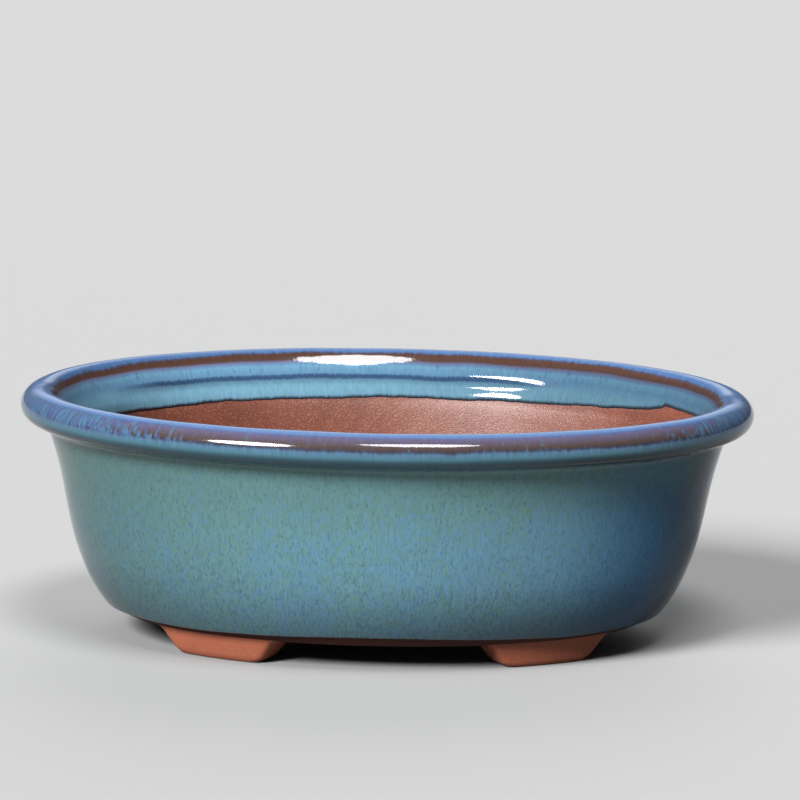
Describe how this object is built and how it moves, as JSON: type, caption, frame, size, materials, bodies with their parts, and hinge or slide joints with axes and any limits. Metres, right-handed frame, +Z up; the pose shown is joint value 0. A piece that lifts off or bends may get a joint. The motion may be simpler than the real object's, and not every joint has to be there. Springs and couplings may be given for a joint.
{
  "type": "bonsai pot",
  "caption": "Shallow oval bonsai pot with a rolled rim, glazed outside and over the rim, with bare clay inside, a drained floor and short feet.",
  "frame": {"origin": "on the ground, under the middle of the pot", "axes": "+X along the pot's length, +Y towards its back, +Z up"},
  "size_m": [0.21, 0.164, 0.071],
  "materials": {
    "glaze": "glossy blue-green running glaze that breaks brown on the edges",
    "clay": "bare fired stoneware, sandy and matt",
    "foot_clay": "bare fired stoneware, smooth and matt"
  },
  "bodies": {
    "root": {"wall": "clay", "rim": "clay", "floor": "clay", "foot_front_left": "foot_clay", "foot_front_right": "foot_clay", "foot_back_left": "foot_clay", "foot_back_right": "foot_clay", "glaze_coat": "glaze"}
  },
  "joints": []
}
